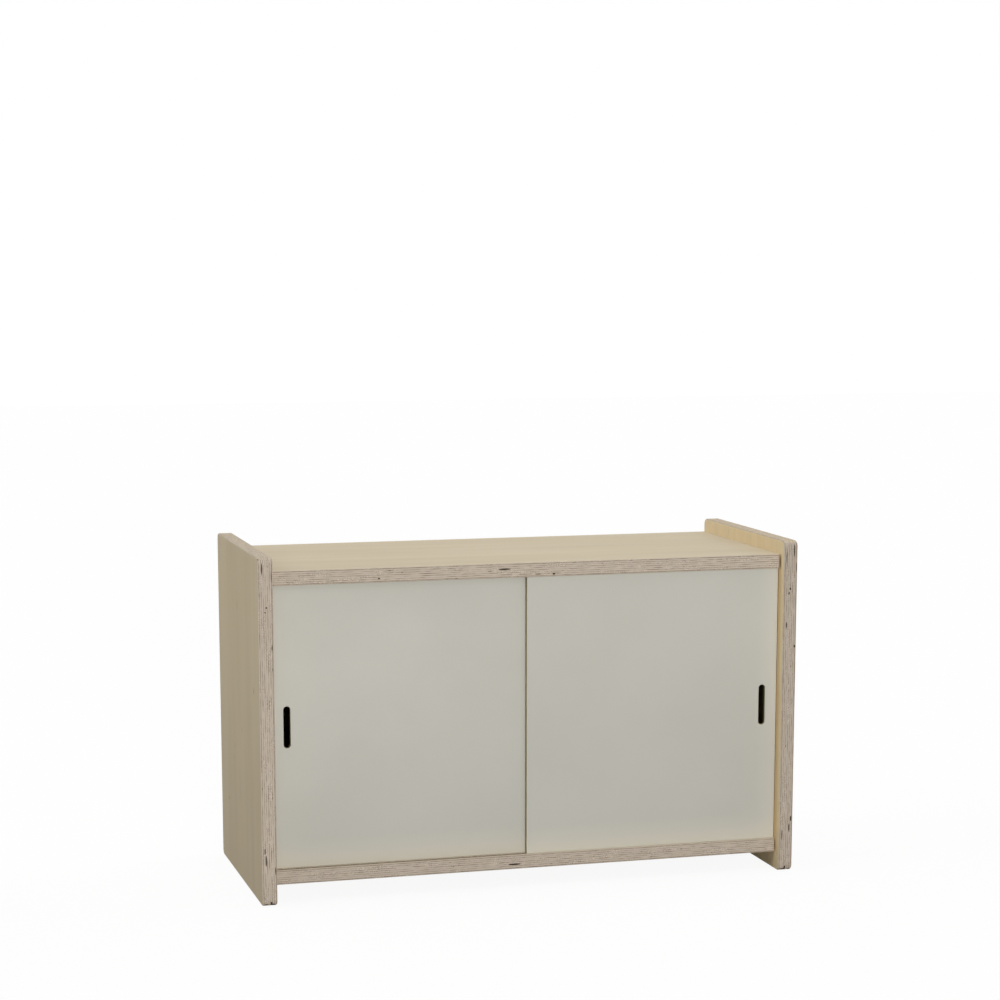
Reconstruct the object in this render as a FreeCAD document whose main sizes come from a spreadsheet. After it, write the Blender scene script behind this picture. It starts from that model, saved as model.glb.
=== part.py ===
import FreeCAD, Part
import Sketcher
import math
import os

# Sliding door cabinet in birch plywood, with two thin doors on a routed double track.
#
# Frame: origin on the floor under the middle of the cabinet, X to the right, Y to the back, Z up.
# Millimetres. The sizes below fill the spreadsheet, and expressions bind the whole model to it.

SIZES = {
    # carcass
    "overall_width": 800,
    "overall_depth": 338,
    "overall_height": 495,
    "board": 21,                 # plywood of the sides, top and bottom
    "foot_height": 26,           # floor to the underside of the bottom panel
    "rim_height": 21,            # how far the sides stand above the top panel
    "front_setback": 18,         # sides' front edges to the front edges of top and bottom
    "side_corner_radius": 9,
    "arris": 1.2,                # easing of the plywood edges
    # doors and their double track
    "door_thickness": 6,
    "door_arris": 0.4,
    "door_overlap": 13,          # both doors closed
    "door_end_gap": 0.5,         # closed door to the side panel
    "track_lip": 3,              # wood in front of the front groove
    "track_rib": 3,              # wood between the two grooves
    "track_play": 0.5,           # each face of a door to its groove wall
    "lower_groove_depth": 5,
    "upper_engagement": 5.5,     # of a door that stands in its lower groove
    "lift_out_clearance": 0.5,   # lower edge of a door over the bottom panel, when lifted out
    "slot_width": 10,
    "slot_length": 60,
    "slot_edge_distance": 22.5,  # door's outer edge to the middle of its finger slot
    # back panel
    "back_thickness": 6,
    "back_inset": 10,            # carcass's rear edges to the back panel
    "back_groove_depth": 7,
    "back_play": 0.1,            # each face of the back panel to its groove wall
    "back_edge_play": 0.5,       # each end of the back panel to the floor of its groove
    # shelf
    "shelf_thickness": 18,
    "shelf_setback": 40,         # rear door to the shelf's front edge, room for a finger
    "shelf_back_gap": 1.5,
    "shelf_end_gap": 1.5,
    # shelf pins and the rows of holes for them
    "pin_diameter": 5,
    "pin_hole_depth": 10,
    "pin_hole_pitch": 32,
    "pin_row_inset": 37,         # shelf's front and back edges to the rows of pin holes
    "pin_play": 0.05,
    "pin_collar_diameter": 7.5,
    "pin_collar_length": 1,
    "pin_tongue_width": 9,
    "pin_tongue_length": 12,
    "pin_tongue_thickness": 2,
    # dowels
    "dowel_diameter": 8,
    "dowel_in_side": 10,
    "dowel_in_deck": 20,
    "dowel_play": 0.05,
    "dowel_end_play": 0.5,
    # cam locks
    "fitting_inset": 50,         # front and back edges of a deck to its cam locks
    "fitting_to_dowel": 32,
    "cam_edge_distance": 34,     # side panel to the middle of the cam lock
    "cam_diameter": 15,
    "cam_floor": 1.4,
    "cam_play": 0.1,             # cam lock in its bore
    "cam_head_play": 0.4,        # bolt's head in the cam lock
    "cam_slot_play": 0.3,        # bolt's neck in the slot of the cam lock
    "cam_driver_length": 9,
    "cam_driver_width": 1.6,
    "cam_driver_depth": 2.2,
    # cam bolts
    "bolt_thread_diameter": 5,
    "bolt_thread_length": 11,
    "bolt_play": 0.05,
    "bolt_shank_diameter": 6.8,  # its shoulder stops against the side panel
    "bolt_neck_diameter": 3.4,
    "bolt_head_diameter": 6.2,
    "bolt_head_length": 2.5,
    "bolt_head_gap": 1,          # end of the head to the middle of the cam lock
    "bolt_bore_play": 0.6,       # bolt's shank in the bore of the deck
}

PIN_HOLES_PER_ROW = 3
CAM_SLOT_SWEEP = 200             # degrees of the cam lock's wall that the bolt's neck can pass
TINY = 1e-4                      # for telling edges and places apart

# Levels and lengths that follow from the sizes
INNER_WIDTH = "(Sizes.overall_width - 2 * Sizes.board)"
FRONT = "(-Sizes.overall_depth / 2)"
FLOOR_TOP = "(Sizes.foot_height + Sizes.board)"
CEILING = "(Sizes.overall_height - Sizes.rim_height - Sizes.board)"
CLEAR_HEIGHT = f"({CEILING} - {FLOOR_TOP})"
DECK_DEPTH = "(Sizes.overall_depth - Sizes.front_setback)"
DECK_FRONT = f"({FRONT} + Sizes.front_setback)"

TRACK_WIDTH = "(Sizes.door_thickness + 2 * Sizes.track_play)"
TRACK_PITCH = f"({TRACK_WIDTH} + Sizes.track_rib)"
UPPER_GROOVE_DEPTH = "(Sizes.lower_groove_depth + Sizes.lift_out_clearance + Sizes.upper_engagement)"
DOOR_WIDTH = f"(({INNER_WIDTH} + Sizes.door_overlap) / 2 - Sizes.door_end_gap)"
DOOR_HEIGHT = f"({CLEAR_HEIGHT} + Sizes.lower_groove_depth + Sizes.upper_engagement)"
FRONT_DOOR_FACE = f"({DECK_FRONT} + Sizes.track_lip + Sizes.track_play)"
REAR_DOOR_FACE = f"({FRONT_DOOR_FACE} + {TRACK_PITCH})"

BACK_GROOVE_WIDTH = "(Sizes.back_thickness + 2 * Sizes.back_play)"
BACK_GROOVE_START = f"(Sizes.overall_depth - Sizes.back_inset + Sizes.back_play - {BACK_GROOVE_WIDTH})"
BACK_FACE = f"({FRONT} + {BACK_GROOVE_START} + Sizes.back_play)"
BACK_ENTRY = "(Sizes.back_groove_depth - Sizes.back_edge_play)"

SHELF_FRONT = f"({REAR_DOOR_FACE} + Sizes.door_thickness + Sizes.shelf_setback)"
SHELF_DEPTH = f"({BACK_FACE} - Sizes.shelf_back_gap - {SHELF_FRONT})"
PIN_FRONT_ROW = f"({SHELF_FRONT} + Sizes.pin_row_inset)"
PIN_ROW_SPAN = f"({SHELF_DEPTH} - 2 * Sizes.pin_row_inset)"
PIN_CLIMB = f"({PIN_HOLES_PER_ROW - 1} * Sizes.pin_hole_pitch)"
PIN_LEVEL = f"({FLOOR_TOP} + {CLEAR_HEIGHT} / 2 + {PIN_CLIMB} / 2)"
PIN_RADIUS = "(Sizes.pin_diameter / 2)"

DOWEL_INSET = "(Sizes.fitting_inset + Sizes.fitting_to_dowel)"
FITTING_SPAN = f"({DECK_DEPTH} - 2 * Sizes.fitting_inset)"
DOWEL_SPAN = f"({DECK_DEPTH} - 2 * {DOWEL_INSET})"
CAM_BORE_DIAMETER = "(Sizes.cam_diameter + 2 * Sizes.cam_play)"
CAM_HEIGHT = "(Sizes.board / 2 + Sizes.bolt_head_diameter / 2 + Sizes.cam_head_play + Sizes.cam_floor)"
HEAD_REACH = "(Sizes.bolt_head_gap + Sizes.bolt_head_length)"
BOLT_BORE_DIAMETER = "(Sizes.bolt_shank_diameter + 2 * Sizes.bolt_bore_play)"

doc = FreeCAD.newDocument("sliding_door_cabinet")


def write_sizes():
    """Fill the spreadsheet: one row for each size, with its name as the cell's alias."""
    sheet = doc.addObject("Spreadsheet::Sheet", "Sizes")
    for row, (alias, value) in enumerate(SIZES.items(), start=1):
        sheet.set(f"A{row}", alias)
        sheet.set(f"B{row}", str(value))
        sheet.setAlias(f"B{row}", alias)
    doc.recompute()


# ------------------------------------------------------------------ placing

def place(item, x="0", y="0", z="0"):
    """Bind the position of a body, link or group."""
    for axis, expression in zip("xyz", (x, y, z)):
        item.setExpression(f"Placement.Base.{axis}", expression)


def turn_around(item):
    """Turn an item half a turn about Z, before its position is bound."""
    half_turn = FreeCAD.Rotation(FreeCAD.Vector(0, 0, 1), 180)
    item.Placement = FreeCAD.Placement(FreeCAD.Vector(0, 0, 0), half_turn)


# ----------------------------------------------------------------- sketches

def sketch_on(body, role, name, right="0", up="0", out="0"):
    """A sketch on an origin plane of its body, with its own origin moved along and off that plane."""
    sketch = body.newObject("Sketcher::SketchObject", f"{body.Name}_{name}")
    plane = next(item for item in body.Origin.OriginFeatures if item.Role == role)
    sketch.AttachmentSupport = (plane, "")
    sketch.MapMode = "FlatFace"
    for axis, expression in zip("xyz", (right, up, out)):
        sketch.setExpression(f"AttachmentOffset.Base.{axis}", expression)
    return sketch


def constrain(sketch, kind, *arguments, to=None):
    """Add a constraint and bind its value, where it has one."""
    index = sketch.addConstraint(Sketcher.Constraint(kind, *arguments))
    if to is not None:
        sketch.setExpression(f"Constraints[{index}]", to)


def add_outline(sketch, count):
    """A closed outline of count lines, from point to point, that constraints then bring to shape."""
    start = [FreeCAD.Vector(k, 1 + k % 2, 0) for k in range(count)]
    for k in range(count):
        sketch.addGeometry(Part.LineSegment(start[k], start[(k + 1) % count]), False)
    for k in range(count):
        constrain(sketch, "Coincident", k, 2, (k + 1) % count, 1)
    constrain(sketch, "Coincident", 0, 1, -1, 1)


def add_rectangle(sketch, width, height):
    """A rectangle with its lower left corner at the sketch's origin."""
    add_outline(sketch, 4)
    constrain(sketch, "Horizontal", 0)
    constrain(sketch, "Vertical", 1)
    constrain(sketch, "Horizontal", 2)
    constrain(sketch, "Vertical", 3)
    constrain(sketch, "DistanceX", 0, 1, 0, 2, 10.0, to=width)
    constrain(sketch, "DistanceY", 1, 1, 1, 2, 10.0, to=height)


def add_turned_profile(sketch, points):
    """Half the section of a turned piece, over the sketch's x axis.

    Each point is (advance along the axis from the point before it, radius), and an advance of
    None puts it straight above or below the point before it.
    """
    add_outline(sketch, len(points) + 2)
    constrain(sketch, "Vertical", 0)
    for k, (advance, radius) in enumerate(points):
        if k > 0 and advance is None:
            constrain(sketch, "Vertical", k)
        elif k > 0:
            constrain(sketch, "DistanceX", k, 1, k, 2, 1.0, to=advance)
        constrain(sketch, "DistanceY", -1, 1, k, 2, 1.0, to=radius)
    constrain(sketch, "Vertical", len(points))
    constrain(sketch, "Horizontal", len(points) + 1)


def add_circle(sketch, diameter, right=None, up=None):
    """A circle at the sketch's origin, or straight to the right of it or above it."""
    centre = FreeCAD.Vector(1 if right else 0, 1 if up else 0, 0)
    circle = sketch.addGeometry(Part.Circle(centre, FreeCAD.Vector(0, 0, 1), 1), False)
    constrain(sketch, "Diameter", circle, 2.0, to=diameter)
    if right:
        constrain(sketch, "PointOnObject", circle, 3, -1)
        constrain(sketch, "DistanceX", -1, 1, circle, 3, 1.0, to=right)
    elif up:
        constrain(sketch, "PointOnObject", circle, 3, -2)
        constrain(sketch, "DistanceY", -1, 1, circle, 3, 1.0, to=up)
    else:
        constrain(sketch, "Coincident", circle, 3, -1, 1)


def add_upright_slot(sketch, width, length):
    """A slot with full round ends, upright and centred on the sketch's origin."""
    top = sketch.addGeometry(slot_end(3, 0), False)
    bottom = sketch.addGeometry(slot_end(-3, math.pi), False)
    left = sketch.addGeometry(slot_side(-1, 3), False)
    right = sketch.addGeometry(slot_side(1, -3), False)
    constrain(sketch, "Tangent", top, 2, left, 1)
    constrain(sketch, "Tangent", left, 2, bottom, 1)
    constrain(sketch, "Tangent", bottom, 2, right, 1)
    constrain(sketch, "Tangent", right, 2, top, 1)
    constrain(sketch, "Vertical", left)
    constrain(sketch, "Equal", top, bottom)
    constrain(sketch, "Symmetric", top, 3, bottom, 3, -1, 1)
    constrain(sketch, "Diameter", top, 2.0, to=width)
    constrain(sketch, "DistanceY", bottom, 3, top, 3, 6.0, to=f"{length} - {width}")


def slot_side(right, start):
    """An upright line through (right, 0), the starting shape for a side of a slot."""
    return Part.LineSegment(FreeCAD.Vector(right, start, 0), FreeCAD.Vector(right, -start, 0))


def slot_end(height, start):
    """A half circle of radius 1 about (0, height), the starting shape for an end of a slot."""
    circle = Part.Circle(FreeCAD.Vector(0, height, 0), FreeCAD.Vector(0, 0, 1), 1)
    return Part.ArcOfCircle(circle, start, start + math.pi)


# ----------------------------------------------------------------- features

def new_body(label):
    """An empty body with its label."""
    body = doc.addObject("PartDesign::Body", label)
    body.Label = label
    return body


def add_feature(body, kind, profile):
    """A feature of a kind that is made from a sketch."""
    feature = body.newObject(f"PartDesign::{kind}", f"{profile.Name}_{kind.lower()}")
    feature.Profile = profile
    return feature


def pad(body, sketch, length, backwards=False):
    """Build up along the normal of the sketch's plane, or against it."""
    feature = add_feature(body, "Pad", sketch)
    feature.Reversed = backwards
    feature.setExpression("Length", length)
    doc.recompute()


def require_less(body, volume, feature):
    """A cut has to take material away."""
    if body.Shape.Volume >= volume:
        raise RuntimeError(f"{feature.Name} cuts nothing")


def pocket(body, sketch, depth, forwards=False):
    """Cut against the normal of the sketch's plane, or along it."""
    volume = body.Shape.Volume
    feature = add_feature(body, "Pocket", sketch)
    feature.Reversed = forwards
    feature.setExpression("Length", depth)
    doc.recompute()
    require_less(body, volume, feature)
    return feature


def revolve(body, sketch):
    """Turn a profile full circle about its sketch's x axis."""
    feature = add_feature(body, "Revolution", sketch)
    feature.ReferenceAxis = (sketch, ["H_Axis"])
    feature.Angle = 360
    doc.recompute()


def turn_out(body, sketch, sweep):
    """Cut a profile out about its sketch's y axis, half of the sweep to each side."""
    volume = body.Shape.Volume
    feature = add_feature(body, "Groove", sketch)
    feature.ReferenceAxis = (sketch, ["V_Axis"])
    feature.Angle = sweep
    feature.Midplane = True
    doc.recompute()
    require_less(body, volume, feature)


def repeat(body, features, kind, reference, **settings):
    """Repeat cuts in a pattern along, or mirror them on, one of the body's origin features."""
    volume = body.Shape.Volume
    feature = body.newObject(f"PartDesign::{kind}", f"{features[0].Name}_{kind.lower()}")
    feature.Originals = features
    target = next(item for item in body.Origin.OriginFeatures if item.Role == reference)
    if kind == "Mirrored":
        feature.MirrorPlane = (target, [""])
    else:
        feature.Direction = (target, [""])
        feature.Occurrences = settings["times"]
        feature.setExpression("Length", settings["length"])
    body.Tip = feature
    doc.recompute()
    require_less(body, volume, feature)


def dress(body, kind, size_name, size, chosen):
    """Fillet or chamfer the edges that chosen(edge) picks."""
    base = body.Tip
    names = [f"Edge{n}" for n, edge in enumerate(base.Shape.Edges, start=1) if chosen(edge)]
    feature = body.newObject(f"PartDesign::{kind}", f"{body.Name}_{kind.lower()}_{len(names)}")
    feature.Base = (base, names)
    feature.setExpression(size_name, size)
    doc.recompute()


def runs_along(axis):
    """Picks edges that run along x, y or z."""
    index = "xyz".index(axis)

    def chosen(edge):
        box = edge.BoundBox
        lengths = (box.XLength, box.YLength, box.ZLength)
        across = sum(lengths) - lengths[index]
        return lengths[index] > TINY and across < TINY

    return chosen


def lies_flat(axis, at=None):
    """Picks edges in a plane square to x, y or z: in any such plane, or in the one at a place."""
    def chosen(edge):
        low, high = (getattr(edge.BoundBox, f"{axis.upper()}{end}") for end in ("Min", "Max"))
        return high - low < TINY and (at is None or abs(low - at) < TINY)

    return chosen


# ------------------------------------------------------------------- panels

def side_panel(label, on_right):
    """A side. Its inner face is the local x = 0 plane, and y = 0 is its front edge."""
    body = new_body(label)
    outline = sketch_on(body, "YZ_Plane", "outline")
    add_rectangle(outline, "Sizes.overall_depth", "Sizes.overall_height")
    pad(body, outline, "Sizes.board", backwards=not on_right)
    dress(body, "Fillet", "Radius", "Sizes.side_corner_radius", runs_along("x"))
    dress(body, "Chamfer", "Size", "Sizes.arris", lies_flat("x"))

    groove = sketch_on(body, "YZ_Plane", "back_groove", BACK_GROOVE_START,
                       f"{FLOOR_TOP} - Sizes.back_groove_depth")
    add_rectangle(groove, BACK_GROOVE_WIDTH, f"{CLEAR_HEIGHT} + 2 * Sizes.back_groove_depth")
    pocket(body, groove, "Sizes.back_groove_depth", forwards=on_right)

    side_bores(body, on_right, "bolt_bores", "Sizes.fitting_inset", FITTING_SPAN,
               "Sizes.bolt_thread_diameter", "Sizes.bolt_thread_length + Sizes.bolt_play")
    side_bores(body, on_right, "dowel_bores", DOWEL_INSET, DOWEL_SPAN,
               "Sizes.dowel_diameter", "Sizes.dowel_in_side + Sizes.dowel_end_play")
    pin_hole_rows(body, on_right)
    place(body, f"{INNER_WIDTH} / {2 if on_right else -2}", FRONT)
    return body


def side_bores(body, on_right, name, inset, span, diameter, depth):
    """Blind bores in a side, two at the level of the bottom panel and two at that of the top."""
    bores = sketch_on(body, "YZ_Plane", name, f"Sizes.front_setback + {inset}",
                      f"{FLOOR_TOP} - Sizes.board / 2")
    add_circle(bores, diameter)
    add_circle(bores, diameter, right=span)
    lower = pocket(body, bores, depth, forwards=on_right)
    repeat(body, [lower], "LinearPattern", "Z_Axis", times=2, length=f"{CLEAR_HEIGHT} + Sizes.board")


def pin_hole_rows(body, on_right):
    """Two upright rows of blind holes for the shelf pins, about the middle of the clear height."""
    holes = sketch_on(body, "YZ_Plane", "pin_holes", f"{PIN_FRONT_ROW} - {FRONT}",
                      f"{PIN_LEVEL} - {PIN_CLIMB}")
    add_circle(holes, "Sizes.pin_diameter + 2 * Sizes.pin_play")
    add_circle(holes, "Sizes.pin_diameter + 2 * Sizes.pin_play", right=PIN_ROW_SPAN)
    lowest = pocket(body, holes, "Sizes.pin_hole_depth", forwards=on_right)
    repeat(body, [lowest], "LinearPattern", "Z_Axis", times=PIN_HOLES_PER_ROW, length=PIN_CLIMB)


def deck(label, is_top, track_depth):
    """The top or bottom panel. Its track face is the local z = 0 plane, and y = 0 its front edge."""
    body = new_body(label)
    left_end = f"-{INNER_WIDTH} / 2"
    outline = sketch_on(body, "XY_Plane", "outline", left_end)
    add_rectangle(outline, INNER_WIDTH, DECK_DEPTH)
    pad(body, outline, "Sizes.board", backwards=not is_top)
    dress(body, "Fillet", "Radius", "Sizes.arris", lies_flat("y", at=0))

    track = sketch_on(body, "XY_Plane", "track", left_end, "Sizes.track_lip")
    add_rectangle(track, INNER_WIDTH, TRACK_WIDTH)
    front_track = pocket(body, track, track_depth, forwards=is_top)
    repeat(body, [front_track], "LinearPattern", "Y_Axis", times=2, length=TRACK_PITCH)

    groove = sketch_on(body, "XY_Plane", "back_groove", left_end,
                       f"{BACK_GROOVE_START} - Sizes.front_setback")
    add_rectangle(groove, INNER_WIDTH, BACK_GROOVE_WIDTH)
    pocket(body, groove, "Sizes.back_groove_depth", forwards=is_top)

    deck_bores(body, is_top)
    place(body, y=DECK_FRONT, z=CEILING if is_top else FLOOR_TOP)
    return body


def deck_bores(body, is_top):
    """Bores for the cam locks, from below, and for their bolts and the dowels, from the ends."""
    end = f"{INNER_WIDTH} / 2"
    middle = f"Sizes.board / {2 if is_top else -2}"
    cams = sketch_on(body, "XY_Plane", "cam_bores", f"{end} - Sizes.cam_edge_distance",
                     "Sizes.fitting_inset", "0" if is_top else "-Sizes.board")
    add_circle(cams, CAM_BORE_DIAMETER)
    add_circle(cams, CAM_BORE_DIAMETER, up=FITTING_SPAN)
    cuts = [pocket(body, cams, f"{CAM_HEIGHT} + Sizes.cam_play", forwards=True)]

    bolts = sketch_on(body, "YZ_Plane", "bolt_bores", "Sizes.fitting_inset", middle, end)
    add_circle(bolts, BOLT_BORE_DIAMETER)
    add_circle(bolts, BOLT_BORE_DIAMETER, right=FITTING_SPAN)
    cuts.append(pocket(body, bolts, "Sizes.cam_edge_distance"))

    dowels = sketch_on(body, "YZ_Plane", "dowel_bores", DOWEL_INSET, middle, end)
    add_circle(dowels, "Sizes.dowel_diameter")
    add_circle(dowels, "Sizes.dowel_diameter", right=DOWEL_SPAN)
    cuts.append(pocket(body, dowels, "Sizes.dowel_in_deck + Sizes.dowel_end_play"))
    repeat(body, cuts, "Mirrored", "YZ_Plane")


def back_panel():
    """The back, standing on the floor of the bottom panel's groove. Its front face is y = 0."""
    body = new_body("back_panel")
    width = f"({INNER_WIDTH} + 2 * {BACK_ENTRY})"
    outline = sketch_on(body, "XZ_Plane", "outline", f"-{width} / 2")
    add_rectangle(outline, width, f"{CLEAR_HEIGHT} + 2 * {BACK_ENTRY}")
    pad(body, outline, "Sizes.back_thickness", backwards=True)
    place(body, y=BACK_FACE, z=f"{FLOOR_TOP} - Sizes.back_groove_depth")
    return body


def shelf():
    """The adjustable shelf, on its pins in the top holes, clear of the doors' finger slots.

    z = 0 is its underside and y = 0 its front edge.
    """
    body = new_body("shelf")
    width = f"({INNER_WIDTH} - 2 * Sizes.shelf_end_gap)"
    outline = sketch_on(body, "XY_Plane", "outline", f"-{width} / 2")
    add_rectangle(outline, width, SHELF_DEPTH)
    pad(body, outline, "Sizes.shelf_thickness")
    dress(body, "Fillet", "Radius", "Sizes.arris", lies_flat("y", at=0))
    place(body, y=SHELF_FRONT, z=f"{PIN_LEVEL} + {PIN_RADIUS}")
    return body


# -------------------------------------------------------------------- doors

def door(label, on_right, face):
    """A sliding door, standing in its lower groove. y = 0 is its face and z = 0 its lower edge."""
    body = new_body(label)
    outline = sketch_on(body, "XZ_Plane", "outline", f"-{DOOR_WIDTH} / 2")
    add_rectangle(outline, DOOR_WIDTH, DOOR_HEIGHT)
    pad(body, outline, "Sizes.door_thickness", backwards=True)

    side = 1 if on_right else -1
    slot = sketch_on(body, "XZ_Plane", "finger_slot",
                     f"{side} * ({DOOR_WIDTH} / 2 - Sizes.slot_edge_distance)",
                     f"Sizes.lower_groove_depth + {CLEAR_HEIGHT} / 2")
    add_upright_slot(slot, "Sizes.slot_width", "Sizes.slot_length")
    pocket(body, slot, "Sizes.door_thickness")
    dress(body, "Chamfer", "Size", "Sizes.door_arris", lies_flat("y"))
    middle = f"({INNER_WIDTH} - {DOOR_WIDTH}) / 2 - Sizes.door_end_gap"
    place(body, f"{side} * ({middle})", face, f"{FLOOR_TOP} - Sizes.lower_groove_depth")
    return body


# ---------------------------------------------------------------- fasteners

def shelf_pin(label, on_right, at_back):
    """A steel shelf pin. x = 0 is the side's inner face, and its tongue points into the cabinet."""
    body = new_body(label)
    peg = sketch_on(body, "YZ_Plane", "peg")
    add_circle(peg, "Sizes.pin_diameter")
    pad(body, peg, "Sizes.pin_hole_depth - Sizes.pin_play", backwards=True)

    collar = sketch_on(body, "YZ_Plane", "collar")
    add_circle(collar, "Sizes.pin_collar_diameter")
    pad(body, collar, "Sizes.pin_collar_length")

    tongue = sketch_on(body, "XY_Plane", "tongue", "0", "-Sizes.pin_tongue_width / 2",
                       f"{PIN_RADIUS} - Sizes.pin_tongue_thickness")
    add_rectangle(tongue, "Sizes.pin_tongue_length", "Sizes.pin_tongue_width")
    pad(body, tongue, "Sizes.pin_tongue_thickness")
    tip = SIZES["pin_tongue_length"]
    dress(body, "Chamfer", "Size", "Sizes.pin_tongue_width / 4", upright_edge_at(tip))
    if on_right:
        turn_around(body)
    row = f"{PIN_FRONT_ROW} + {PIN_ROW_SPAN}" if at_back else PIN_FRONT_ROW
    place(body, f"{INNER_WIDTH} / {2 if on_right else -2}", row, PIN_LEVEL)
    return body


def upright_edge_at(x):
    """Picks upright edges at a place along x."""
    upright = runs_along("z")
    return lambda edge: upright(edge) and abs(edge.BoundBox.XMin - x) < TINY


def dowel():
    """A beech dowel along x, where x = 0 is the side's inner face."""
    body = new_body("dowel")
    end = sketch_on(body, "YZ_Plane", "end", out="-Sizes.dowel_in_side")
    add_circle(end, "Sizes.dowel_diameter - 2 * Sizes.dowel_play")
    pad(body, end, "Sizes.dowel_in_side + Sizes.dowel_in_deck")
    return body


def cam_bolt():
    """A connecting bolt along x, where x = 0 is the side's inner face: thread, shank, neck, head."""
    body = new_body("cam_bolt")
    thread = "Sizes.bolt_thread_diameter / 2 - Sizes.bolt_play"
    shank = "Sizes.bolt_shank_diameter / 2"
    neck = "Sizes.bolt_neck_diameter / 2"
    head = "Sizes.bolt_head_diameter / 2"
    neck_start = "Sizes.cam_edge_distance - Sizes.cam_diameter / 2 - Sizes.cam_head_play"
    neck_length = f"Sizes.cam_diameter / 2 + Sizes.cam_head_play - {HEAD_REACH}"
    profile = sketch_on(body, "XZ_Plane", "profile", "-Sizes.bolt_thread_length")
    add_turned_profile(profile, [
        (None, thread),
        ("Sizes.bolt_thread_length", thread),
        (None, shank),
        (neck_start, shank),
        (None, neck),
        (neck_length, neck),
        (None, head),
        ("Sizes.bolt_head_length", head),
    ])
    revolve(body, profile)
    return body


def cam_lock():
    """A cam lock that stands on its mouth face, z = 0. Its bolt comes along -x at half the board."""
    body = new_body("cam_lock")
    barrel = sketch_on(body, "XY_Plane", "barrel")
    add_circle(barrel, "Sizes.cam_diameter")
    pad(body, barrel, CAM_HEIGHT)

    # hollow for the bolt's head
    head_radius = "(Sizes.bolt_head_diameter / 2)"
    hollow_radius = f"(sqrt({HEAD_REACH} ^ 2 + {head_radius} ^ 2) + Sizes.cam_head_play)"
    half_height = f"({head_radius} + Sizes.cam_head_play)"
    hollow = sketch_on(body, "XZ_Plane", "hollow", "0", f"Sizes.board / 2 - {half_height}")
    add_rectangle(hollow, hollow_radius, f"2 * {half_height}")
    turn_out(body, hollow, 360)

    # slot in the wall for the bolt's neck
    slot_width = "(Sizes.bolt_neck_diameter + 2 * Sizes.cam_slot_play)"
    slot = sketch_on(body, "XZ_Plane", "neck_slot", "0", f"Sizes.board / 2 - {slot_width} / 2")
    add_rectangle(slot, "Sizes.cam_diameter", slot_width)
    turn_out(body, slot, CAM_SLOT_SWEEP)

    # mouth that lets the head in before the cam lock is turned
    mouth_width = f"(2 * {half_height})"
    mouth = sketch_on(body, "XZ_Plane", "mouth", f"-{half_height}", f"Sizes.board / 2 - {half_height}")
    add_rectangle(mouth, mouth_width, mouth_width)
    pocket(body, mouth, "Sizes.cam_diameter")

    # slot for the screwdriver
    driver = sketch_on(body, "XY_Plane", "driver_slot", "-Sizes.cam_driver_length / 2",
                       "-Sizes.cam_driver_width / 2")
    add_rectangle(driver, "Sizes.cam_driver_length", "Sizes.cam_driver_width")
    pocket(body, driver, "Sizes.cam_driver_depth", forwards=True)
    return body


def pair(label, piece, span, x="0", z="0", turned=False):
    """Two of a piece, one behind the other at a span, as one group."""
    links = []
    for number, y in enumerate(("0", span)):
        link = doc.addObject("App::Link", f"{label}_{number}")
        link.LinkedObject = piece
        if turned:
            turn_around(link)
        place(link, x, y, z)
        links.append(link)
    group = doc.addObject("Part::Compound", label)
    group.Label = label
    group.Links = links
    return group


def corner_fasteners(pieces, deck_name, deck_middle, on_right):
    """Dowels, cam bolts and cam locks of one corner joint, each kind as a pair."""
    corner = f"{deck_name}_{'right' if on_right else 'left'}"
    dowels = pair(f"dowels_{corner}", pieces["dowel"], DOWEL_SPAN)
    bolts = pair(f"cam_bolts_{corner}", pieces["cam_bolt"], FITTING_SPAN)
    locks = pair(f"cam_locks_{corner}", pieces["cam_lock"], FITTING_SPAN,
                 "Sizes.cam_edge_distance", "-Sizes.board / 2", turned=True)
    groups = [
        (dowels, DOWEL_INSET, DOWEL_SPAN),
        (bolts, "Sizes.fitting_inset", FITTING_SPAN),
        (locks, "Sizes.fitting_inset", FITTING_SPAN),
    ]
    for group, inset, span in groups:
        if on_right:
            turn_around(group)
        first = f"{inset} + {span}" if on_right else inset
        place(group, f"{INNER_WIDTH} / {2 if on_right else -2}", f"{DECK_FRONT} + {first}", deck_middle)
    return [group for group, _, _ in groups]


# ----------------------------------------------------------------- assembly

def build():
    """Every sub-part, in the order that the cabinet goes together."""
    write_sizes()
    nodes = [
        side_panel("side_left", on_right=False),
        side_panel("side_right", on_right=True),
        deck("top_panel", True, UPPER_GROOVE_DEPTH),
        deck("bottom_panel", False, "Sizes.lower_groove_depth"),
        back_panel(),
        shelf(),
        door("left_door", on_right=False, face=REAR_DOOR_FACE),
        door("right_door", on_right=True, face=FRONT_DOOR_FACE),
    ]
    for on_right in (False, True):
        for at_back in (False, True):
            label = f"shelf_pin_{'right' if on_right else 'left'}_{'back' if at_back else 'front'}"
            nodes.append(shelf_pin(label, on_right, at_back))
    pieces = {"dowel": dowel(), "cam_bolt": cam_bolt(), "cam_lock": cam_lock()}
    decks = (("top", f"{CEILING} + Sizes.board / 2"), ("bottom", f"{FLOOR_TOP} - Sizes.board / 2"))
    for deck_name, deck_middle in decks:
        for on_right in (False, True):
            nodes += corner_fasteners(pieces, deck_name, deck_middle, on_right)
    doc.recompute()
    return nodes


def check(nodes):
    """Nothing in the document may have failed, and every sub-part has sound solids."""
    for item in doc.Objects:
        if "Invalid" in item.State or "Error" in item.State:
            raise RuntimeError(f"{item.Name} failed: {item.State}")
    for node in nodes:
        if node.Shape.isNull() or not node.Shape.isValid() or not node.Shape.Solids:
            raise RuntimeError(f"{node.Label} has no sound shape")


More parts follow.
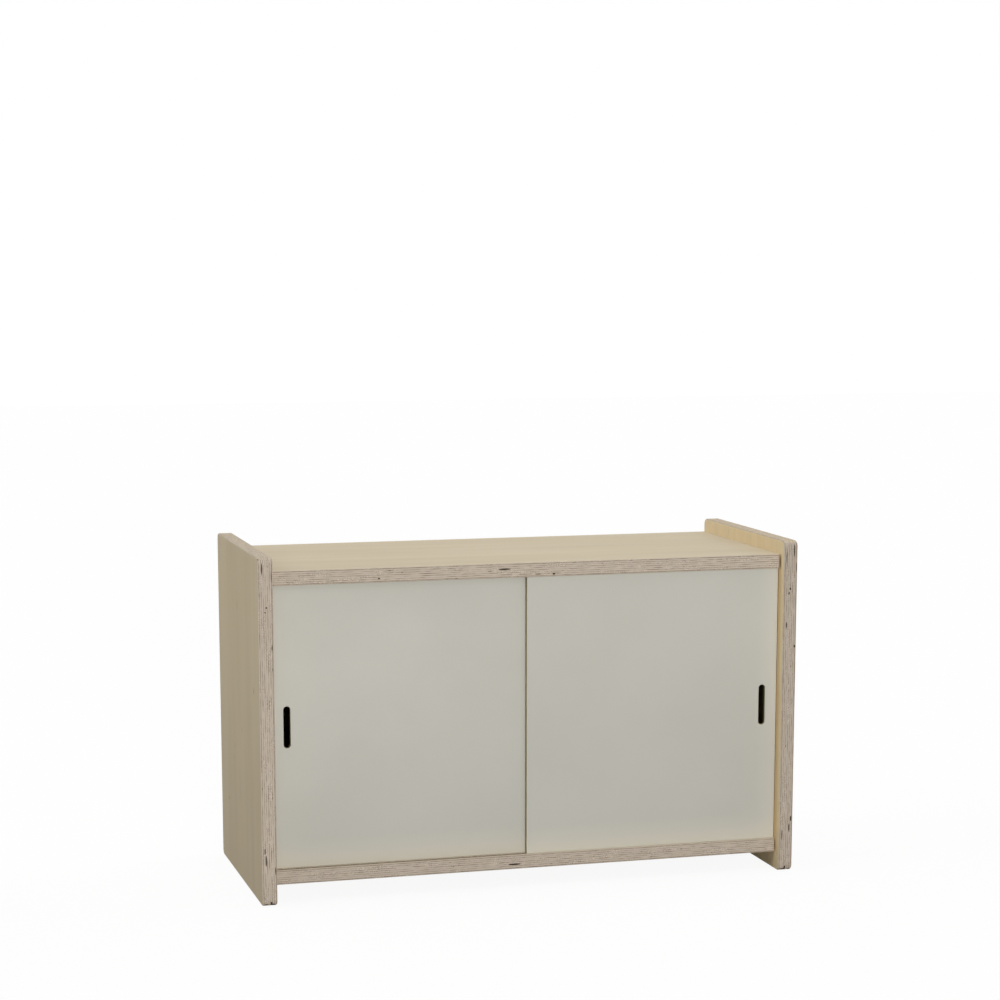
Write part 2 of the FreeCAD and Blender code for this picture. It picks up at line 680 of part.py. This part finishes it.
def export(nodes):
    os.makedirs("parts", exist_ok=True)
    for node in nodes:
        node.Shape.exportStep(f"parts/{node.Label}.step")
        print(f"{node.Label}: {len(node.Shape.Solids)} solid(s), {node.Shape.Volume / 1000:.2f} cm3")


sub_parts = build()
check(sub_parts)
export(sub_parts)
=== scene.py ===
import math

import bpy
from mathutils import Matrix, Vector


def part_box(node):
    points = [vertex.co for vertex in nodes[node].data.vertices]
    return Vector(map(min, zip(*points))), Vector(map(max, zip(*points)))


# Looks of the sliding door cabinet: birch plywood with bare edges, smooth greige doors.
# Metres, in the CAD's frame: X to the right, Y to the back, Z up.

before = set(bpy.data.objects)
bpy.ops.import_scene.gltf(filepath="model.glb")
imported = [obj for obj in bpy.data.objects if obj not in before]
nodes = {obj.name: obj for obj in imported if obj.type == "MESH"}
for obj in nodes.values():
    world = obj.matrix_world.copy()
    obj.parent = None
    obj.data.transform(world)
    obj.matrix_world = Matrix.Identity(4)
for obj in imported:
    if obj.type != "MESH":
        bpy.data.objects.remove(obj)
bpy.context.view_layer.update()

MM = 0.001
AXES = "xyz"
WHITE = (1, 1, 1, 1)


def colour(red, green, blue):
    """Linear colour from screen values of 0 to 255."""
    def linear(value):
        value /= 255
        return value / 12.92 if value <= 0.04045 else ((value + 0.055) / 1.055) ** 2.4
    return (linear(red), linear(green), linear(blue), 1)


# --------------------------------------------------------------- node helpers

class Graph:
    """A material, and short ways to add nodes to it. Most return the new node's output.

    The shift moves every noise of the material, so that no two materials have the same pattern.
    """

    def __init__(self, name, shift=(0, 0, 0)):
        self.material = bpy.data.materials.new(name)
        self.material.use_nodes = True
        self.tree = self.material.node_tree
        self.shader = self.tree.nodes["Principled BSDF"]
        self.shift = shift
        where = self.add("TexCoord")
        self.place = where.outputs["Object"]
        self.normal = where.outputs["Normal"]

    def add(self, kind, *values, **settings):
        """A node with these settings and these values or links in its first inputs."""
        node = self.tree.nodes.new("ShaderNode" + kind)
        for key, value in settings.items():
            setattr(node, key, value)
        for index, value in enumerate(values):
            self.put(node.inputs[index], value)
        return node

    def put(self, socket, value):
        """Link an output to an input, or give the input a plain value."""
        if isinstance(value, bpy.types.NodeSocket):
            self.tree.links.new(value, socket)
        else:
            socket.default_value = value

    def math(self, operation, *values, clamp=False):
        return self.add("Math", *values, operation=operation, use_clamp=clamp).outputs[0]

    def plus(self, first, second):
        return self.math("ADD", first, second)

    def minus(self, first, second):
        return self.math("SUBTRACT", first, second)

    def times(self, first, second):
        return self.math("MULTIPLY", first, second)

    def larger(self, first, second):
        return self.math("MAXIMUM", first, second)

    def distance(self, first, second):
        """How far apart two numbers are."""
        return self.math("ABSOLUTE", self.minus(first, second))

    def vector(self, operation, *values):
        node = self.add("VectorMath", *values, operation=operation)
        return node.outputs["Value" if operation == "LENGTH" else "Vector"]

    def parts(self, vector):
        """The three numbers of a vector."""
        return self.add("SeparateXYZ", vector).outputs

    def facing(self, axis):
        """How squarely the surface faces along an axis, from 0 to 1."""
        return self.math("ABSOLUTE", self.parts(self.normal)[AXES.index(axis)])

    def ramp(self, value, low, high, start=0.0, end=1.0):
        """From start to end, smoothly, as the value goes from low to high."""
        node = self.add("MapRange", interpolation_type="SMOOTHSTEP")
        for name, number in (("Value", value), ("From Min", low), ("From Max", high),
                             ("To Min", start), ("To Max", end)):
            self.put(node.inputs[name], number)
        return node.outputs[0]

    def noise(self, scales, detail=2.0, roughness=0.5, bend=0.0):
        """Noise from 0 to 1 with its own scale, per metre, along each axis."""
        moved = self.vector("ADD", self.place, self.shift)
        node = self.add("TexNoise", noise_dimensions="3D")
        self.put(node.inputs["Vector"], self.vector("MULTIPLY", moved, scales))
        for name, number in (("Scale", 1.0), ("Detail", detail), ("Roughness", roughness),
                             ("Distortion", bend)):
            node.inputs[name].default_value = number
        return node.outputs[0]

    def spots(self, places, soft):
        """1 inside any of the ellipsoids, given as (middle, half sizes), and 0 outside."""
        inside = 0.0
        for middle, half in places:
            away = self.vector("DIVIDE", self.vector("SUBTRACT", self.place, middle), half)
            spot = self.ramp(self.vector("LENGTH", away), 1 - soft, 1 + soft, 1.0, 0.0)
            inside = self.larger(inside, spot)
        return inside

    def mix(self, share, first, second):
        """A colour between two."""
        node = self.add("Mix", data_type="RGBA")
        for index, value in ((0, share), (6, first), (7, second)):
            self.put(node.inputs[index], value)
        return node.outputs[2]

    def between(self, share, first, second):
        """A number between two."""
        node = self.add("Mix", data_type="FLOAT")
        for index, value in ((0, share), (2, first), (3, second)):
            self.put(node.inputs[index], value)
        return node.outputs[0]

    def scaled(self, base, factor):
        """A colour times a number."""
        node = self.add("VectorMath", operation="SCALE")
        self.put(node.inputs[0], base)
        self.put(node.inputs["Scale"], factor)
        return node.outputs[0]

    def surface(self, base, roughness, height, depth, strength):
        """Give the shader its colour, its roughness and a bump of this depth."""
        self.put(self.shader.inputs["Base Color"], base)
        self.put(self.shader.inputs["Roughness"], roughness)
        bump = self.add("Bump")
        bump.inputs["Strength"].default_value = strength
        bump.inputs["Distance"].default_value = depth
        self.put(bump.inputs["Height"], height)
        self.put(self.shader.inputs["Normal"], bump.outputs[0])


def even(scale):
    """Scales for noise that is the same along each axis."""
    return (scale, scale, scale)


def stretched(axis, along, across):
    """Scales for noise that runs along an axis."""
    return tuple(along if name == axis else across for name in AXES)


# -------------------------------------------------------------------- plywood

# Light and dark tone of the face veneer
VENEER = (colour(203, 190, 165), colour(199, 185, 159))
# Lit and shaded copies of the veneer for the sides, painted light and shade: lighter and yellower on
# the inner faces, for light bounced off the decks, darker on the outer faces
SHADED_OUTER_VENEER = (colour(195, 181, 153), colour(191, 176, 148))
LIT_INNER_VENEER = (colour(229, 210, 172), colour(224, 204, 165))
KNOT_AND_SHADE = colour(96, 74, 50)

# Tones of the bare edges
LONG_PLY = colour(196, 183, 168)
CROSS_PLY = colour(158, 144, 128)
DASH = colour(118, 103, 86)
VOID_AND_SHADOW = colour(62, 49, 38)

FACE_PLY = 0.95 * MM
INNER_PLY = 1.469 * MM
PLY_WAVE = 0.55 * MM              # how far the plies wander through the board
CLEAR_DEPTH = 2.2 * MM            # plies nearer to a face than this stay the clearest
PLAIN_DEPTH = 3.2 * MM            # plies deeper than this come and go

# Painted shade on the sides: their outer faces darker from the floor upward, their inner ones about
# the corner with the decks and the doors
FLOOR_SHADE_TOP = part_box("side_left")[1][2] - 15 * MM
FRONT_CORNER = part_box("right_door")[0][1] - MM
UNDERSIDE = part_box("bottom_panel")[0][2]
TOP_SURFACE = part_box("top_panel")[1][2]
CORNER_SHADE = (0.84, 0.74, 0.60, 1)
CORNER_SHADE_WIDTH = 15 * MM


class Plywood(Graph):
    """Birch plywood: veneer on its two faces, bare plies on its edges.

    flat is the axis through the board, grain the axis that the face veneer runs along, and low the
    board's lowest place on the flat axis.
    """

    def __init__(self, name, shift, flat, grain, low, thickness):
        super().__init__(name, shift)
        self.flat = flat
        self.grain = grain
        self.thickness = thickness
        self.depth = self.minus(self.parts(self.place)[AXES.index(flat)], low)
        self.upper = self.math("GREATER_THAN", self.depth, thickness / 2)
        self.squareness = self.facing(flat)
        self.on_face = self.ramp(self.squareness, 0.78, 0.84)
        self.on_end_grain = self.ramp(self.facing(grain), 0.6, 0.8)

    def edge_noise(self, through, along, **settings):
        """Noise with one scale through the board and another along its edges."""
        return self.noise(stretched(self.flat, through, along), **settings)

    def veneer_noise(self, along, across, **settings):
        """Noise with one scale along the veneer's grain and another across it."""
        return self.noise(stretched(self.grain, along, across), **settings)

    def plies(self):
        """The depth that the wavy plies follow, and 1 on the dark ones, 0 elsewhere.

        The plies are counted from the low face, and two more keep the count above zero. Every
        second inner ply runs across and looks dark. On an edge that cuts across the veneer's grain
        the plies between those do.
        """
        wave = self.edge_noise(60, 22, detail=1)
        depth = self.plus(self.depth, self.times(self.minus(wave, 0.5), PLY_WAVE))
        count = self.math("DIVIDE", self.minus(depth, FACE_PLY), INNER_PLY)
        pair = self.math("FRACT", self.times(self.plus(count, 2.0), 0.5))
        cross = self.times(self.ramp(pair, 0.0, 0.06), self.ramp(pair, 0.44, 0.5, 1.0, 0.0))
        inner = self.times(self.math("GREATER_THAN", depth, FACE_PLY),
                           self.math("LESS_THAN", depth, self.thickness - FACE_PLY))
        cross = self.times(cross, inner)
        others = self.times(self.minus(1.0, cross), inner)
        return depth, self.between(self.on_end_grain, cross, others)

    def ply_colour(self, depth, dark):
        """Light and dark plies, with short dashes in the dark ones.

        How strongly a dark ply stands out comes and goes along the edge. The outermost ones stay
        the clearest.
        """
        middle = self.thickness / 2
        outermost = self.ramp(self.distance(depth, middle), middle - PLAIN_DEPTH,
                              middle - CLEAR_DEPTH, 0.0, 0.45)
        patches = self.ramp(self.edge_noise(420, 60), 0.3, 0.7)
        clear = self.times(self.math("ADD", patches, outermost, clamp=True), dark)
        dashes = self.ramp(self.edge_noise(560, 52, detail=1), 0.57, 0.64)
        plies = self.mix(clear, LONG_PLY, CROSS_PLY)
        return self.mix(self.times(dashes, self.times(dark, 0.45)), plies, DASH)

    def sawn_grain(self, dark, streaks, pores):
        """How light the sawn wood is: fine streaks and pores, and patches of torn grain."""
        pitted = self.times(self.minus(pores, 0.5), self.ramp(dark, 0.0, 1.0, 0.10, 0.30))
        fine = self.plus(self.ramp(streaks, 0.25, 0.75, 0.93, 1.07), pitted)
        torn = self.ramp(self.edge_noise(160, 26), 0.46, 0.6)
        chips = self.ramp(self.noise(even(650), roughness=0.7), 0.3, 0.7, 0.70, 1.28)
        return self.times(fine, self.between(torn, 1.0, chips))

    def rounding(self):
        """1 on the eased corners between faces and edges, 0 elsewhere."""
        return self.times(self.ramp(self.squareness, 0.15, 0.45),
                          self.ramp(self.squareness, 0.86, 0.97, 1.0, 0.0))

    def bare_edge(self, veneer, tone, voids):
        """Colour, roughness and height of the board's edges."""
        depth, dark = self.plies()
        streaks = self.edge_noise(1000, 75, detail=3, roughness=0.6)
        pores = self.noise(even(900), roughness=0.6)
        cracks = self.times(self.ramp(self.edge_noise(520, 150, detail=1), 0.70, 0.75), dark)
        # the voids include painted shadow at the feet of the sides, where they meet the floor
        gaps_and_shadow = self.larger(self.times(cracks, 0.7), self.spots(voids, 0.15))

        edge = self.mix(self.times(self.on_end_grain, 0.35), self.ply_colour(depth, dark), veneer)
        edge = self.scaled(edge, self.sawn_grain(dark, streaks, pores))
        edge = self.scaled(edge, self.between(self.on_end_grain, tone, 1.05 * tone))
        edge = self.mix(gaps_and_shadow, edge, VOID_AND_SHADOW)
        # painted shade: the eased corners are a little darker, damping their highlight
        edge = self.scaled(edge, self.between(self.rounding(), 1.0, 0.97))

        roughness = self.ramp(pores, 0.3, 0.7, 0.70, 0.86)
        hollows = self.plus(self.times(gaps_and_shadow, 1.2), self.times(dark, 0.25))
        return edge, roughness, self.minus(self.times(streaks, 0.5), hollows)

    def veneer_colour(self, faces, fibre):
        """The tones of the low and the high face, with figure, bands and fibre."""
        figure = self.veneer_noise(2.2, 15, detail=3, roughness=0.55, bend=0.6)
        bands = self.veneer_noise(1.5, 42, roughness=0.6)
        light, dark = (self.mix(self.upper, low, high) for low, high in zip(*faces))
        face = self.mix(self.ramp(figure, 0.3, 0.75), light, dark)
        face = self.scaled(face, self.ramp(bands, 0.3, 0.7, 0.975, 1.02))
        return self.scaled(face, self.ramp(fibre, 0.2, 0.8, 0.97, 1.025))

    def side_shade(self, face, inner, worn):
        """Shade on a side panel: its outer face toward the floor, its inner one beside the doors."""
        _, y, z = self.parts(self.place)
        within = self.math("COMPARE", self.upper, inner, 0.5)
        # painted shade: the outer face is darker toward the floor
        lower = self.ramp(z, 0.0, FLOOR_SHADE_TOP, 1 - worn, 1.01)
        face = self.scaled(face, self.between(within, lower, 1.0))

        middle, reach = (TOP_SURFACE + UNDERSIDE) / 2, (TOP_SURFACE - UNDERSIDE) / 2
        beside = self.times(self.math("LESS_THAN", self.distance(z, middle), reach), within)
        # painted shade on the inner face in the corner beside the decks' front edges and the doors
        near = self.ramp(self.distance(y, FRONT_CORNER), MM, CORNER_SHADE_WIDTH, 1.0, 0.0)
        return self.vector("MULTIPLY", face, self.mix(self.times(near, beside), WHITE, CORNER_SHADE))

    def face_veneer(self, faces, inner, worn, knots):
        """Colour, roughness and height of the board's two faces."""
        fibre = self.veneer_noise(14, 520, detail=3, roughness=0.6)
        face = self.veneer_colour(faces, fibre)
        if inner is not None:
            face = self.side_shade(face, inner, worn)
        pins = self.ramp(self.veneer_noise(55, 260, detail=1), 0.755, 0.79)
        # the knots include painted shade on the right side's inner face beside the decks' ends
        marks = self.larger(self.times(pins, 0.3), self.spots(knots, 0.5))
        face = self.mix(self.times(marks, 0.75), face, KNOT_AND_SHADE)
        return face, self.ramp(fibre, 0.2, 0.8, 0.62, 0.72), self.times(fibre, 0.25)


def plywood(name, shift, flat, grain, low, thickness, faces=(VENEER, VENEER), edge_tone=1.0,
            inner=None, worn=0.0, voids=(), knots=()):
    """Material for one board.

    faces are the tones of its low and its high face. On a side panel, inner is the face, 0 or 1,
    that looks into the cabinet. It gets painted shade where the decks' front edges and the doors
    meet it, and the floor shade is how much darker the other face is painted toward the floor than
    at the top, also painted shade. Voids in the plies and knots in the veneer are (middle, half
    sizes); a few of them are painted shadow and shade instead.
    """
    wood = Plywood(name, shift, flat, grain, low, thickness)
    edge, edge_roughness, edge_height = wood.bare_edge(faces[0][0], edge_tone, voids)
    face, face_roughness, face_height = wood.face_veneer(faces, inner, worn, knots)
    base = wood.mix(wood.on_face, edge, face)
    roughness = wood.between(wood.on_face, edge_roughness, face_roughness)
    height = wood.between(wood.on_face, edge_height, face_height)
    wood.surface(base, roughness, height, depth=0.25 * MM, strength=0.6)
    wood.shader.inputs["Specular IOR Level"].default_value = 0.12
    return wood.material


# ------------------------------------------------------ doors and small parts

LAMINATE = (colour(188, 186, 176), colour(184, 182, 172))
# Painted light: a warm tone for light bounced off the bottom deck onto the doors' foot
BOUNCE_LIGHT_TONE = colour(207, 198, 178)
DOOR_CORE = (colour(164, 153, 114), colour(144, 132, 95))
BEECH = (colour(206, 172, 128), colour(190, 152, 108))
BEECH_FLECK = colour(140, 100, 66)
NICKEL = (0.62, 0.61, 0.58)
ZINC = (0.52, 0.52, 0.53)

# Where the painted light and shade on the closed doors starts and ends, across and upward
LEFT_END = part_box("left_door")[0][0]
RIGHT_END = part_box("right_door")[1][0]
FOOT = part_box("right_door")[0][2]
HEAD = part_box("right_door")[1][2]
ACROSS = (LEFT_END, RIGHT_END - 18.5 * MM)
UPWARD = (FOOT + 18 * MM, HEAD - 3.5 * MM)
LIT_EDGE_BAND = (RIGHT_END - 33.5 * MM, RIGHT_END + 1.5 * MM)
BOUNCE_LIGHT_BAND = (FOOT, FOOT + 48 * MM)


def door_shade(graph, base):
    """Painted light and shade: slightly lighter toward the left, the top and the right outer edge,
    warmer at the bottom.
    """
    x, _, z = graph.parts(graph.place)
    base = graph.scaled(base, graph.ramp(x, *ACROSS, 1.01, 0.963))
    base = graph.scaled(base, graph.ramp(x, *LIT_EDGE_BAND, 1.0, 1.10))
    base = graph.scaled(base, graph.ramp(z, *UPWARD, 0.965, 1.055))
    return graph.mix(graph.ramp(z, *BOUNCE_LIGHT_BAND, 0.55, 0.0), base, BOUNCE_LIGHT_TONE)


def laminate(name, shift):
    """Smooth matt greige door faces, a little cloudy, with painted light and shade, and a brown
    fibreboard core on the edges.
    """
    graph = Graph(name, shift)
    cloud = graph.noise(even(5), detail=3, roughness=0.55)
    peel = graph.noise(even(420))
    sheet = graph.mix(graph.ramp(cloud, 0.3, 0.7), *LAMINATE)
    sheet = graph.scaled(sheet, graph.ramp(peel, 0.2, 0.8, 0.99, 1.008))
    sheet = door_shade(graph, sheet)

    fibres = graph.noise(stretched("y", 2600, 300), detail=3, roughness=0.65)
    core = graph.mix(graph.ramp(fibres, 0.3, 0.7), *DOOR_CORE)

    on_face = graph.ramp(graph.facing("y"), 0.6, 0.75)
    roughness = graph.between(on_face, graph.ramp(fibres, 0.3, 0.7, 0.72, 0.85),
                              graph.ramp(cloud, 0.3, 0.7, 0.42, 0.50))
    height = graph.between(on_face, fibres, graph.times(peel, 0.5))
    graph.surface(graph.mix(on_face, core, sheet), roughness, height, depth=0.1 * MM, strength=0.35)
    return graph.material


def beech(name, shift):
    """Turned beech with short dark flecks."""
    graph = Graph(name, shift)
    fibre = graph.noise(stretched("x", 60, 900), detail=3, roughness=0.6)
    fleck = graph.ramp(graph.noise(stretched("x", 220, 1400), detail=1), 0.62, 0.7)
    base = graph.mix(graph.ramp(fibre, 0.3, 0.7), *BEECH)
    base = graph.mix(graph.times(fleck, 0.4), base, BEECH_FLECK)
    roughness = graph.ramp(fibre, 0.3, 0.7, 0.55, 0.7)
    graph.surface(base, roughness, fibre, depth=0.1 * MM, strength=0.5)
    return graph.material


def metal(name, tone, roughness, grain, shift):
    """Plated or die-cast metal with fine turning or casting marks."""
    graph = Graph(name, shift)
    marks = graph.noise(grain, detail=3, roughness=0.65)
    tint = graph.noise(even(90))
    base = graph.scaled(tone, graph.ramp(tint, 0.3, 0.7, 0.93, 1.03))
    spread = graph.ramp(marks, 0.25, 0.75, roughness - 0.07, roughness + 0.09)
    graph.surface(base, spread, marks, depth=0.05 * MM, strength=0.5)
    graph.shader.inputs["Metallic"].default_value = 1.0
    return graph.material


# ----------------------------------------------------- materials on the nodes

# Marks that each board shows, listed one by one: two coordinates and two half sizes in millimetres.
# On the front edges they go across and up, on the faces of the sides to the back and up. The last
# three of each side's edge, at its foot, are painted shadow where it meets the floor, and the two on
# the right side's inner face are painted shade beside the ends of the decks.
LEFT_EDGE = [(-399, 492.5, 1.6, 0.7), (-394.3, 479.5, 0.7, 8.5), (-381.2, 468, 0.45, 7.5),
             (-388.5, 425.5, 1.0, 1.3), (-390.5, 419, 0.8, 1.0), (-381.4, 369, 0.6, 3.5),
             (-380.8, 338.5, 0.5, 2.5), (-395.8, 80, 0.8, 4.5), (-394.3, 66.5, 0.9, 8),
             (-381, 51, 0.7, 6), (-387.4, 4.6, 1.5, 2.4), (-394.6, 1.4, 4.8, 1.9),
             (-385.2, 1.4, 4.9, 2.2)]
LEFT_OUTER_FACE = [(4.1, 407, 0.8, 6), (-124.2, 304.5, 0.8, 3.4), (-122.6, 300.4, 1.6, 3.2),
                   (-19.8, 227, 0.7, 5), (43.5, 193, 0.7, 4), (54.4, 173, 0.7, 3),
                   (5.5, 141, 0.5, 26), (101.9, 101.5, 1.5, 2.2)]
RIGHT_EDGE = [(395, 481, 0.9, 9.5), (383.2, 470.5, 0.7, 8.5), (398.4, 456, 0.6, 7),
              (389.4, 424.5, 1.2, 1.8), (387.6, 418, 0.9, 2.2), (384.3, 371, 0.8, 4.5),
              (397.5, 339, 1.2, 2.0), (396.8, 79.5, 1.1, 4), (394.3, 65.5, 1.0, 6.5),
              (383.3, 55, 0.7, 8), (388.6, 5.2, 1.3, 2.8), (386, 1.5, 6.2, 2.1),
              (395.6, 1.4, 3.4, 1.9)]
RIGHT_INNER_FACE = [(-154.5, 463, 3.6, 10), (-153, 37, 2.2, 9)]
TOP_EDGE = [(-41, 465.7, 8.8, 1.15), (-224.4, 458.6, 1.7, 1.0), (9, 457, 5, 0.5),
            (32.5, 456.8, 1.9, 1.3)]
BOTTOM_EDGE = [(-26, 33.1, 9.3, 1.25)]


def marks(node, axis, places, depth=3):
    """Ellipsoids on a board's low side along an axis, as (middle, half sizes) in metres."""
    k = AXES.index(axis)
    ellipsoids = []
    for first, second, wide, high in places:
        middle = [first * MM, second * MM]
        middle.insert(k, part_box(node)[0][k])
        half = [wide * MM, high * MM]
        half.insert(k, depth * MM)
        ellipsoids.append((tuple(middle), tuple(half)))
    return ellipsoids


def dress(names, material):
    """Give CAD nodes their material."""
    for name in names:
        nodes[name].data.materials[0] = material


def board(node, flat, grain, shift, **extras):
    """Plywood for a CAD node, through its own thickness."""
    low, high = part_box(node)
    k = AXES.index(flat)
    dress([node], plywood("plywood_" + node, shift, flat, grain, low[k], high[k] - low[k], **extras))


def nodes_called(*starts):
    """Names of the CAD nodes that start with any of these words."""
    return [name for name in nodes if name.startswith(starts)]


board("side_left", "x", "z", (1.3, 0.4, 2.2), faces=(SHADED_OUTER_VENEER, LIT_INNER_VENEER), edge_tone=0.965,
      inner=1, worn=0.17, voids=marks("side_left", "y", LEFT_EDGE, depth=5),
      knots=marks("side_left", "x", LEFT_OUTER_FACE))
board("side_right", "x", "z", (4.1, 2.4, 0.2), faces=(LIT_INNER_VENEER, SHADED_OUTER_VENEER), edge_tone=0.865,
      inner=0, worn=0.12, voids=marks("side_right", "y", RIGHT_EDGE, depth=5),
      knots=marks("side_right", "x", RIGHT_INNER_FACE))
board("top_panel", "z", "x", (0.3, 3.4, 1.2), edge_tone=0.99,
      voids=marks("top_panel", "y", TOP_EDGE))
board("bottom_panel", "z", "x", (2.3, 1.4, 3.2), edge_tone=0.94,
      voids=marks("bottom_panel", "y", BOTTOM_EDGE))
board("shelf", "z", "x", (5.3, 1.9, 0.2))
board("back_panel", "y", "x", (0.9, 2.9, 4.2))

dress(["left_door"], laminate("laminate_left", (0.2, 0.5, 0.1)))
dress(["right_door"], laminate("laminate_right", (3.2, 1.5, 2.1)))
dress(nodes_called("shelf_pin", "cam_bolts"),
      metal("nickelled_steel", NICKEL, 0.28, grain=stretched("x", 300, 2500), shift=(0.1, 0.1, 0.1)))
dress(nodes_called("cam_locks"),
      metal("zinc_die_cast", ZINC, 0.42, grain=even(1500), shift=(0.6, 0.2, 0.3)))
dress(nodes_called("dowels"), beech("turned_beech", (0.7, 0.1, 0.9)))


# ---------------------------------------------------------------------- stage

FLOOR_HALF_SIZE = 12.0
FLOOR_TO_OTHER_LIGHT = (0.5, 0.49, 0.47, 1)
FLOOR_GLOW = 0.92                 # share of the seen floor that glows; the rest takes the shadow


def white_floor():
    """A white floor to the camera, with a faint shadow, and a greyer one to other light."""
    size = FLOOR_HALF_SIZE
    mesh = bpy.data.meshes.new("floor")
    corners = [(-size, -size, 0), (size, -size, 0), (size, size, 0), (-size, size, 0)]
    mesh.from_pydata(corners, [], [(0, 1, 2, 3)])
    floor = bpy.data.objects.new("floor", mesh)
    bpy.context.scene.collection.objects.link(floor)
    mesh.materials.append(floor_material())


def floor_material():
    """White and mostly glowing to the camera and in reflections, plain grey to other light."""
    graph = Graph("floor")
    rays = graph.add("LightPath").outputs
    seen = graph.larger(rays["Is Camera Ray"],
                        graph.larger(rays["Is Glossy Ray"], rays["Is Transmission Ray"]))
    base = graph.mix(seen, FLOOR_TO_OTHER_LIGHT, WHITE)
    graph.put(graph.shader.inputs["Base Color"], base)
    graph.shader.inputs["Roughness"].default_value = 1.0
    graph.shader.inputs["Specular IOR Level"].default_value = 0.0
    glow = graph.add("Emission").outputs[0]
    shared = graph.add("MixShader", graph.times(seen, FLOOR_GLOW), graph.shader.outputs[0], glow)
    output = next(node for node in graph.tree.nodes if node.type == "OUTPUT_MATERIAL")
    graph.put(output.inputs["Surface"], shared.outputs[0])
    return graph.material


def studio_world(level):
    """Even light of this level from all around, and white to the camera and in reflections."""
    world = bpy.data.worlds.new("studio")
    world.use_nodes = True
    tree = world.node_tree
    background = tree.nodes["Background"]
    rays = tree.nodes.new("ShaderNodeLightPath").outputs
    seen = rays["Is Camera Ray"]
    for kind in ("Is Glossy Ray", "Is Transmission Ray"):
        either = tree.nodes.new("ShaderNodeMath")
        either.operation = "MAXIMUM"
        tree.links.new(seen, either.inputs[0])
        tree.links.new(rays[kind], either.inputs[1])
        seen = either.outputs[0]
    strength = tree.nodes.new("ShaderNodeMapRange")
    tree.links.new(seen, strength.inputs["Value"])
    strength.inputs["To Min"].default_value = level
    strength.inputs["To Max"].default_value = 1.0
    tree.links.new(strength.outputs[0], background.inputs["Strength"])
    background.inputs["Color"].default_value = WHITE
    bpy.context.scene.world = world


def lamp(name, azimuth, height, strength, spread):
    """A soft lamp, far away. A strength of 1 fully lights what faces it.

    The azimuth and the height are degrees, from the front toward the right and from level upward.
    The spread is the angle, in radians, that the lamp takes up as seen from the cabinet.
    """
    light = bpy.data.lights.new(name, "SUN")
    light.energy = strength * math.pi
    light.angle = spread
    item = bpy.data.objects.new(name, light)
    item.rotation_euler = (math.radians(90 - height), 0, math.radians(azimuth))
    bpy.context.scene.collection.objects.link(item)


def camera():
    """The photograph's viewpoint: above and to the left of the cabinet, turned by two angles."""
    downward = 0.16753
    rightward = 0.27480
    lens = bpy.data.cameras.new("camera")
    lens.sensor_width = 36
    lens.lens = 90.41
    lens.shift_x = -0.00335
    lens.shift_y = 0.18056
    item = bpy.data.objects.new("camera", lens)
    item.location = (-1.00705, -3.5712, 0.9059)
    item.rotation_euler = (math.pi / 2 - downward, 0, -rightward)
    bpy.context.scene.collection.objects.link(item)
    bpy.context.scene.camera = item


white_floor()
studio_world(0.12)
lamp("front", -4, 5, 0.475, 0.2)
lamp("front_high", -6, 32, 0.13, 0.6)
lamp("left", -89, 28, 0.265, 0.7)
lamp("right", 100, 25, 0.2, 0.8)
lamp("overhead", 0, 88, 0.27, 0.8)
lamp("back_left", -150, 40, 0.17, 1.2)
lamp("back_right", 150, 40, 0.12, 1.2)
camera()
bpy.context.scene.view_settings.view_transform = "Standard"

bpy.context.view_layer.update()
